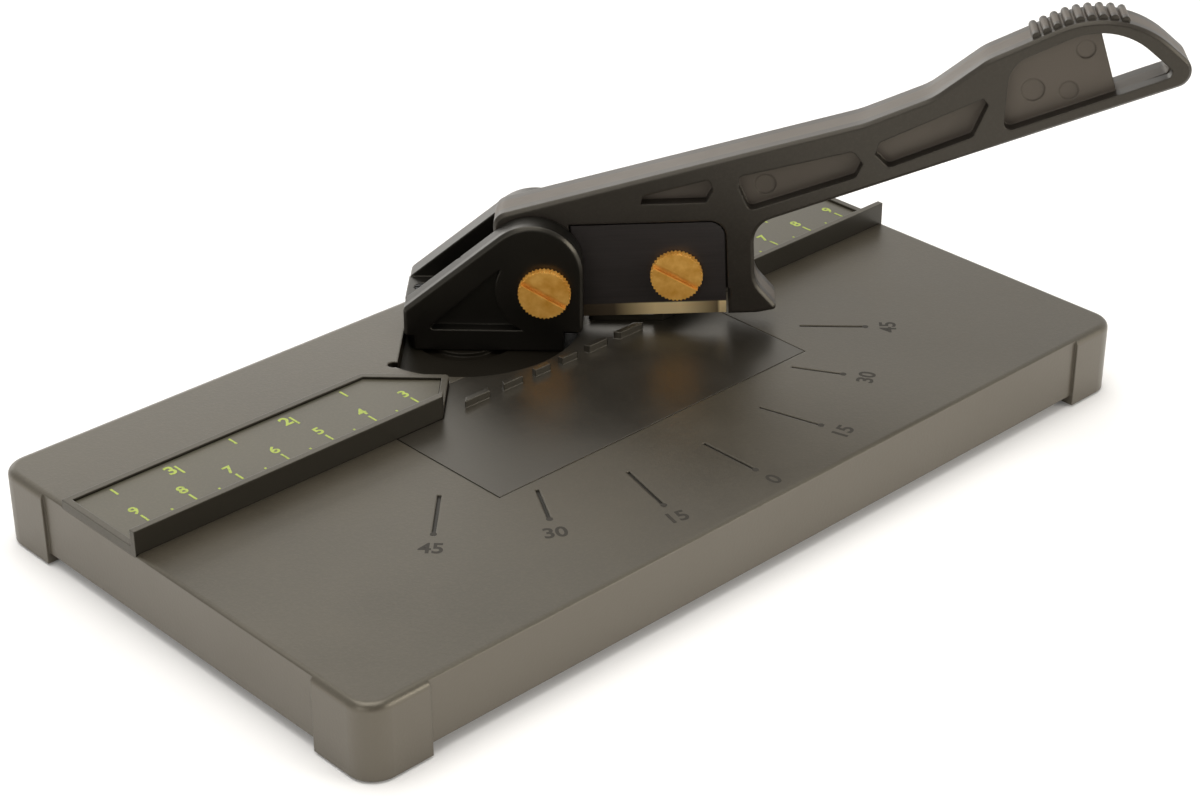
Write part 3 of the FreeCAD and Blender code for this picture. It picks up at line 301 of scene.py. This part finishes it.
def rubber(name):
    g = Surface(name)
    fine = g.noise(RUBBER_SCALE, 2.0)
    g.put("Base Color", g.mix(fine, rgb(0.012, 0.012, 0.012), rgb(0.030, 0.029, 0.028)))
    g.put("Roughness", 0.75)
    g.bump(fine, 0.2, SPARK_DEPTH)
    return g.material


# Metals

DULL_BRASS = rgb(0.80, 0.36, 0.05)
BRIGHT_BRASS = rgb(1.0, 0.56, 0.13)
RING_PITCH = 0.22 * MM
RING_DEPTH = 0.02 * MM
BRASS_EDGE = 0.15 * MM
BRASS_SCALE = 420.0
METAL_SCALE = 500.0


def turned_brass(name, centre):
    """Brass with the fine rings that turning leaves on the face."""
    g = Surface(name)
    radius = g.distance_from(centre, lever_axis)
    rings = g.math("SINE", g.math("MULTIPLY", radius, 2 * math.pi / RING_PITCH))
    worn = g.noise(BRASS_SCALE, 3.0)
    g.put("Base Color", g.mix(g.contrast(worn, 0, 1), DULL_BRASS, BRIGHT_BRASS))
    g.put("Metallic", 0.5)
    g.put("Roughness", g.contrast(worn, 0.32, 0.42))
    g.bump(rings, 0.10, RING_DEPTH, g.bevel(BRASS_EDGE))
    return g.material


def bright_metal(name, colour, roughness):
    g = Surface(name)
    worn = g.noise(METAL_SCALE, 3.0)
    g.put("Base Color", g.mix(worn, shade(colour, 0.8), rgb(*colour)))
    g.put("Metallic", 1.0)
    g.put("Roughness", g.contrast(worn, roughness - 0.05, roughness + 0.08))
    return g.material


BEVEL_TOP = -5.7 * MM
BEVEL_SOFT = 0.12 * MM
# Stretches along the blade from the pivot where the bevel carries painted highlights
BEVEL_HIGHLIGHT = (17 * MM, 30 * MM, 4 * MM)
BEVEL_TIP_HIGHLIGHT = (33.4 * MM, 37 * MM, 0.3 * MM)
BRUSH_SCALES = (60.0, 400.0, 4000.0)
BRUSH_DEPTH = 0.03 * MM
BLADE_EDGE = 0.12 * MM


def blackened_blade(name):
    """Dark steel brushed along the blade, with a ground bevel that brightens towards the front with
    painted highlights.
    """
    g = Surface(name)
    along = g.distance_along(pivot, lever_along)
    across = g.distance_along(pivot, lever_axis)
    height = g.distance_along(pivot, lever_up)
    stretched = g.add("ShaderNodeCombineXYZ")
    for index, source in enumerate((along, across, height)):
        g.link(g.math("MULTIPLY", source, BRUSH_SCALES[index]), stretched.inputs[index])
    brushed = g.noise(1.0, 3.0, stretched.outputs[0])
    ground = g.ramp(height, 1.0, 0.0, BEVEL_TOP - BEVEL_SOFT, BEVEL_TOP + BEVEL_SOFT)
    # Painted highlights: two stretches of the ground bevel towards the front take a bright colour, the
    # rest a dull one.
    lit = g.math("MAXIMUM", g.window(along, *BEVEL_HIGHLIGHT), g.window(along, *BEVEL_TIP_HIGHLIGHT))
    dark = g.mix(brushed, rgb(0.010, 0.008, 0.008), rgb(0.030, 0.024, 0.022))
    dull = g.mix(brushed, rgb(0.05, 0.035, 0.02), rgb(0.10, 0.07, 0.04))
    highlight_colour = g.mix(brushed, rgb(1.0, 0.68, 0.33), rgb(1.0, 0.86, 0.50))
    g.put("Base Color", g.mix(ground, dark, g.mix(lit, dull, highlight_colour)))
    g.put("Metallic", g.math("MULTIPLY", ground, 0.2))
    g.put("Roughness", g.contrast(brushed, 0.30, 0.46))
    g.bump(brushed, 0.10, BRUSH_DEPTH, g.bevel(BLADE_EDGE))
    return g.material


# The finish of every solid

# Painted light: the lever is lighter in its pocket floors, 1.1 to 4.9 mm from the cutting plane.
LEVER_WEB_LIGHT = (cut_point, away, 1.1 * MM, 4.9 * MM, 4.6)
# Painted shade: a band of the turret beside the lever, 1.7 to 4.6 mm from the cutting plane, is
# darker.
EAR_WINDOW_SHADE = (cut_point, away, -4.6 * MM, -1.7 * MM, 0.25)
# Painted shade: the base's recesses and engraved lines within 79 mm of the swivel axis are darker.
DECK_HOLLOW_SHADE = (swivel, 79 * MM, 13.5 * MM, 0.25)
# Painted light: the base's upright walls get a lighter colour than its deck.
WALL_LIGHT = (UP, 0.8, 0.3, (0.080, 0.069, 0.053))
# Painted shade: the front faces of the fence lips are darker than the rest of the fence.
LIP_FRONT_SHADE = (BACKWARD, -0.3, -0.8, (0.005, 0.004, 0.0025))

base_plastic = moulding("base_plastic", (0.029, 0.024, 0.016), 0.35, grain=0.45, edge=0.4 * MM,
                        ior=1.75, hollow_shade=DECK_HOLLOW_SHADE, face_shading=WALL_LIGHT)
fence_plastic = moulding("fence_plastic", (0.036, 0.031, 0.022), 0.38, grain=0.2, edge=0.3 * MM,
                         ior=1.55, face_shading=LIP_FRONT_SHADE)
# The insert carries a line of painted shade along its edges.
insert_plastic = moulding("insert_plastic", (0.014, 0.012, 0.009), 0.31, grain=0.15,
                          edge=0.25 * MM, ior=1.75, edge_shade=0.28 * MM)
scale_plastic = moulding("scale_plastic", (0.036, 0.032, 0.020), 0.36, edge=0.12 * MM, ior=1.75)
turret_plastic = moulding("turret_plastic", (0.004, 0.0035, 0.003), 0.30, grain=0.12,
                          edge=0.5 * MM, pocket_shading=EAR_WINDOW_SHADE)
lever_plastic = moulding("lever_plastic", (0.018, 0.0150, 0.0125), 0.36, grain=0.12,
                         edge=0.5 * MM, pocket_shading=LEVER_WEB_LIGHT)
nylon = moulding("bearing_nylon", (0.62, 0.60, 0.54), 0.45, mottling=0.05)
foot_rubber = rubber("foot_rubber")
zinc = bright_metal("zinc_plate", (0.62, 0.62, 0.60), 0.35)
polished = bright_metal("polished_steel", (0.72, 0.72, 0.73), 0.18)
black_oxide = bright_metal("black_oxide", (0.05, 0.05, 0.05), 0.40)
scale_ink = printed_ink("scale_ink", (0.34, 0.42, 0.055))
# Painted shade: the angle numerals and dots are darker than the deck, as the shade of their engraving.
numeral_shade = engraved("numeral_shade", (0.024, 0.020, 0.014))

FINISHES = {
    "base_shell": base_plastic,
    "left_fence": fence_plastic,
    "right_fence": fence_plastic,
    "cutting_insert": insert_plastic,
    "left_scale_plate": scale_plastic,
    "right_scale_plate": scale_plastic,
    "turret": turret_plastic,
    "lever_arm": lever_plastic,
    "blade": blackened_blade("blade_steel"),
    "pivot_screw": turned_brass("pivot_brass", pivot),
    "clamp_screw": turned_brass("clamp_brass", clamp),
    "pivot_nut": turned_brass("pivot_nut_brass", pivot),
    "clamp_nut": turned_brass("clamp_nut_brass", clamp),
    "pivot_bush": turned_brass("bush_brass", pivot),
    "bearing_washer": nylon,
    "index_plug": black_oxide,
    "index_pin": polished,
    "index_spring": polished,
    "swivel_bolt": black_oxide,
    "swivel_washer": zinc,
    "swivel_spring_washer": zinc,
    "swivel_nut": zinc,
    "insert_screws": zinc,
    "foot_pads": foot_rubber,
}
for name, material in FINISHES.items():
    mesh = nodes[name].data
    mesh.materials.clear()
    mesh.materials.append(material)


# Flat shapes for print and numerals

DIGIT_SHARE = 0.7
BOLD_SHARE = 0.035
LETTER_DEPTH = 0.01 * MM
SAME_POINT = 0.0001 * MM
DOT_SIDES = 20


def add_text(target, words, height, place, turn=0.0):
    """Adds flat letters with their middle at a place to a mesh under construction."""
    curve = bpy.data.curves.new("letters", "FONT")
    curve.body = words
    curve.size = height / DIGIT_SHARE
    curve.align_x = "CENTER"
    curve.align_y = "CENTER"
    curve.extrude = LETTER_DEPTH
    curve.offset = height * BOLD_SHARE
    curve.resolution_u = 4
    holder = bpy.data.objects.new("letters", curve)
    scene.collection.objects.link(holder)
    bpy.context.view_layer.update()
    mesh = bpy.data.meshes.new_from_object(holder.evaluated_get(bpy.context.evaluated_depsgraph_get()))
    mesh.transform(Matrix.Translation(place) @ Matrix.Rotation(turn, 4, "Z"))
    target.from_mesh(mesh)
    bpy.data.objects.remove(holder)
    bpy.data.curves.remove(curve)
    bpy.data.meshes.remove(mesh)


def add_prism(target, corners, thickness):
    """A thin upright prism over corners of one level."""
    low = [target.verts.new(corner) for corner in corners]
    high = [target.verts.new(corner + UP * thickness) for corner in corners]
    target.faces.new(low[::-1])
    target.faces.new(high)
    for index in range(len(corners)):
        after = (index + 1) % len(corners)
        target.faces.new((low[index], low[after], high[after], high[index]))


def add_bar(target, start, end, width, thickness):
    run = end - start
    aside = Vector((-run.y, run.x, 0)).normalized() * (width / 2)
    add_prism(target, [start - aside, end - aside, end + aside, start + aside], thickness)


def add_dot(target, centre, radius, thickness):
    angles = [2 * math.pi * step / DOT_SIDES for step in range(DOT_SIDES)]
    ring = [centre + Vector((math.cos(angle), math.sin(angle), 0)) * radius for angle in angles]
    add_prism(target, ring, thickness)


def finish_mesh(name, work, material):
    """Turns a mesh under construction into a piece that rides the base."""
    mesh = bpy.data.meshes.new(name)
    bmesh.ops.remove_doubles(work, verts=work.verts, dist=SAME_POINT)
    work.to_mesh(mesh)
    work.free()
    mesh.materials.append(material)
    piece = bpy.data.objects.new(name, mesh)
    scene.collection.objects.link(piece)
    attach(piece, "root")


# Printed scales, with spans that run back from the front of the fences

SCALE_START = 1.4 * MM
CENTIMETRE = 10.0 * MM
INCH = 25.4 * MM
CENTIMETRES = range(3, 10)
HALF_INCHES = range(3, 8)
TICK_WIDTH = 0.42 * MM
CM_TICK = (6.6 * MM, 8.9 * MM)
HALF_CM_TICK = (6.6 * MM, 7.1 * MM)
CM_DIGIT = 10.8 * MM
INCH_TICK = (17.3 * MM, 19.7 * MM)
WHOLE_INCH_TICK = (15.4 * MM, 18.5 * MM)
INCH_DIGIT = 17.6 * MM
INCH_DIGIT_ASIDE = -1.4 * MM
DIGIT_HEIGHT = 2.4 * MM
INCH_DIGIT_HEIGHT = 2.8 * MM
INK = 0.03 * MM


def scale_print(name, plate, side):
    """Centimetre and inch marks on one scale plate.

    A mark's reach to the left or right of the swivel axis is SCALE_START less than its figure says.
    """
    work = bmesh.new()
    sheet_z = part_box(plate)[1].z

    def tick(reach, span):
        start = Vector((side * reach, fence_front + span[0], sheet_z))
        end = Vector((side * reach, fence_front + span[1], sheet_z))
        add_bar(work, start, end, TICK_WIDTH, INK)

    def digit(number, x, y, height):
        add_text(work, str(number), height, Vector((x, fence_front + y, sheet_z + INK / 2)))

    for count in CENTIMETRES:
        reach = count * CENTIMETRE - SCALE_START
        tick(reach, CM_TICK)
        digit(count, side * reach, CM_DIGIT, DIGIT_HEIGHT)
        if count != CENTIMETRES[-1]:
            tick(reach + CENTIMETRE / 2, HALF_CM_TICK)
    for half in HALF_INCHES:
        reach = half * INCH / 2 - SCALE_START
        if half % 2:
            tick(reach, INCH_TICK)
        else:
            tick(reach, WHOLE_INCH_TICK)
            digit(half // 2, side * reach + INCH_DIGIT_ASIDE, INCH_DIGIT, INCH_DIGIT_HEIGHT)
    finish_mesh(name, work, scale_ink)


# Angle numerals round the swivel axis

INDEX_ANGLE = 15
INDEX_STEPS = range(-3, 4)
NUMERAL_HEIGHT = 3.1 * MM
NUMERAL_RADIUS = 83.0 * MM
NUMERAL_LIFT = 0.005 * MM
DOT_CENTRE_RADIUS = 78.4 * MM
DOT_RADIUS = 0.62 * MM
SHORT_LINE_STEP = 2
SHORT_LINE_DRAWN_IN = 2.8 * MM


def angle_numerals():
    """The angle beyond each engraved line, and a dot at the line's end."""
    work = bmesh.new()
    axis = swivel + UP * NUMERAL_LIFT
    for step in INDEX_STEPS:
        angle = math.radians(step * INDEX_ANGLE)
        outward = Vector((math.sin(angle), -math.cos(angle), 0))
        drawn_in = SHORT_LINE_DRAWN_IN if abs(step) == SHORT_LINE_STEP else 0
        place = axis + outward * (NUMERAL_RADIUS - drawn_in)
        add_text(work, str(abs(step) * INDEX_ANGLE), NUMERAL_HEIGHT, place, angle)
        add_dot(work, axis + outward * (DOT_CENTRE_RADIUS - drawn_in), DOT_RADIUS, NUMERAL_LIFT)
    finish_mesh("angle_numerals", work, numeral_shade)


scale_print("left_scale_print", "left_scale_plate", -1)
scale_print("right_scale_print", "right_scale_plate", 1)
angle_numerals()


# Floor and world

FLOOR_REACH = 4.0
FLOOR_GLOW = 0.06
ROOM_BACK = (0.68, 0.68, 0.27)
ROOM_RANGE = (-0.5, 0.45)
FRONT_LEVEL = 0.24
BACK_LEVEL = 0.95


def make_floor():
    mesh = bpy.data.meshes.new("floor")
    work = bmesh.new()
    bmesh.ops.create_grid(work, x_segments=1, y_segments=1, size=FLOOR_REACH)
    work.to_mesh(mesh)
    work.free()
    floor = bpy.data.objects.new("floor", mesh)
    scene.collection.objects.link(floor)
    g = Surface("floor_white")
    g.put("Base Color", rgb(0.90, 0.895, 0.89))
    g.put("Roughness", 0.9)
    g.put("Specular IOR Level", 0.1)
    g.put("Emission Color", rgb(1, 0.99, 0.975))
    seen = g.add("ShaderNodeLightPath").outputs["Is Camera Ray"]
    g.put("Emission Strength", g.ramp(seen, 0.0, FLOOR_GLOW))
    mesh.materials.append(g.material)


def make_world():
    """White behind and above the object, darker on the camera's side of the room."""
    world = bpy.data.worlds.new("studio")
    scene.world = world
    world.use_nodes = True
    g = Graph(world.node_tree)
    output = g.add("ShaderNodeOutputWorld")
    background = g.add("ShaderNodeBackground")
    g.link(background.outputs[0], output.inputs[0])
    background.inputs["Color"].default_value = rgb(1.0, 0.985, 0.96)
    direction = g.add("ShaderNodeTexCoord").outputs["Generated"]
    backwards = g.vector_math("DOT_PRODUCT", direction, ROOM_BACK)
    room = g.ramp(backwards, FRONT_LEVEL, BACK_LEVEL, *ROOM_RANGE)
    seen = g.add("ShaderNodeLightPath").outputs["Is Camera Ray"]
    strength = g.add("ShaderNodeMix", data_type="FLOAT")
    g.value(strength.inputs["Factor"], seen)
    g.value(strength.inputs[2], room)
    g.value(strength.inputs[3], 1.0)
    g.link(strength.outputs[0], background.inputs["Strength"])


# Lights, each with its place and target in metres, size, power and colour

BOX_WHITE = (1.0, 0.98, 0.95)
LIGHTS = {
    "back_softbox": ((0.35, 1.00, 0.28), (0, 0, 0.05), (1.0, 0.4), 2.2, BOX_WHITE),
    "top_softbox": ((-0.10, 0.10, 1.10), (0, 0, 0), (0.9, 0.9), 8.0, BOX_WHITE),
    "left_fill": ((-0.85, -0.20, 0.40), (0, 0, 0.03), (0.5, 0.5), 1.6, (1.0, 0.98, 0.94)),
    "right_fill": ((0.45, -0.85, 0.35), (0, 0, 0.03), (0.5, 0.4), 3.4, (1.0, 0.95, 0.86)),
}


def area_light(name, place, target, size, power, colour):
    data = bpy.data.lights.new(name, "AREA")
    data.shape = "RECTANGLE"
    data.size, data.size_y = size
    data.energy = power
    data.color = colour
    lamp = bpy.data.objects.new(name, data)
    lamp.location = place
    lamp.rotation_euler = (Vector(target) - Vector(place)).to_track_quat("-Z", "Y").to_euler()
    lamp.visible_camera = False
    scene.collection.objects.link(lamp)


# Camera, as fitted to the photo's scale ticks, angle lines and base corners

CAMERA_PLACE = (-0.29383, -0.31231, 0.25207)
CAMERA_ANGLES = (60.140, -0.569, -44.501)
CAMERA_LENS = 78.15
CAMERA_SHIFT = (-0.04505, 0.02257)
SENSOR_WIDTH = 36.0
NEAREST_SEEN = 0.01


def make_camera():
    data = bpy.data.cameras.new("camera")
    data.sensor_width = SENSOR_WIDTH
    data.lens = CAMERA_LENS
    data.shift_x, data.shift_y = CAMERA_SHIFT
    data.clip_start = NEAREST_SEEN
    camera = bpy.data.objects.new("camera", data)
    camera.location = CAMERA_PLACE
    camera.rotation_euler = tuple(math.radians(angle) for angle in CAMERA_ANGLES)
    scene.collection.objects.link(camera)
    scene.camera = camera


make_floor()
make_world()
for name, settings in LIGHTS.items():
    area_light(name, *settings)
make_camera()
scene.view_settings.view_transform = "Standard"
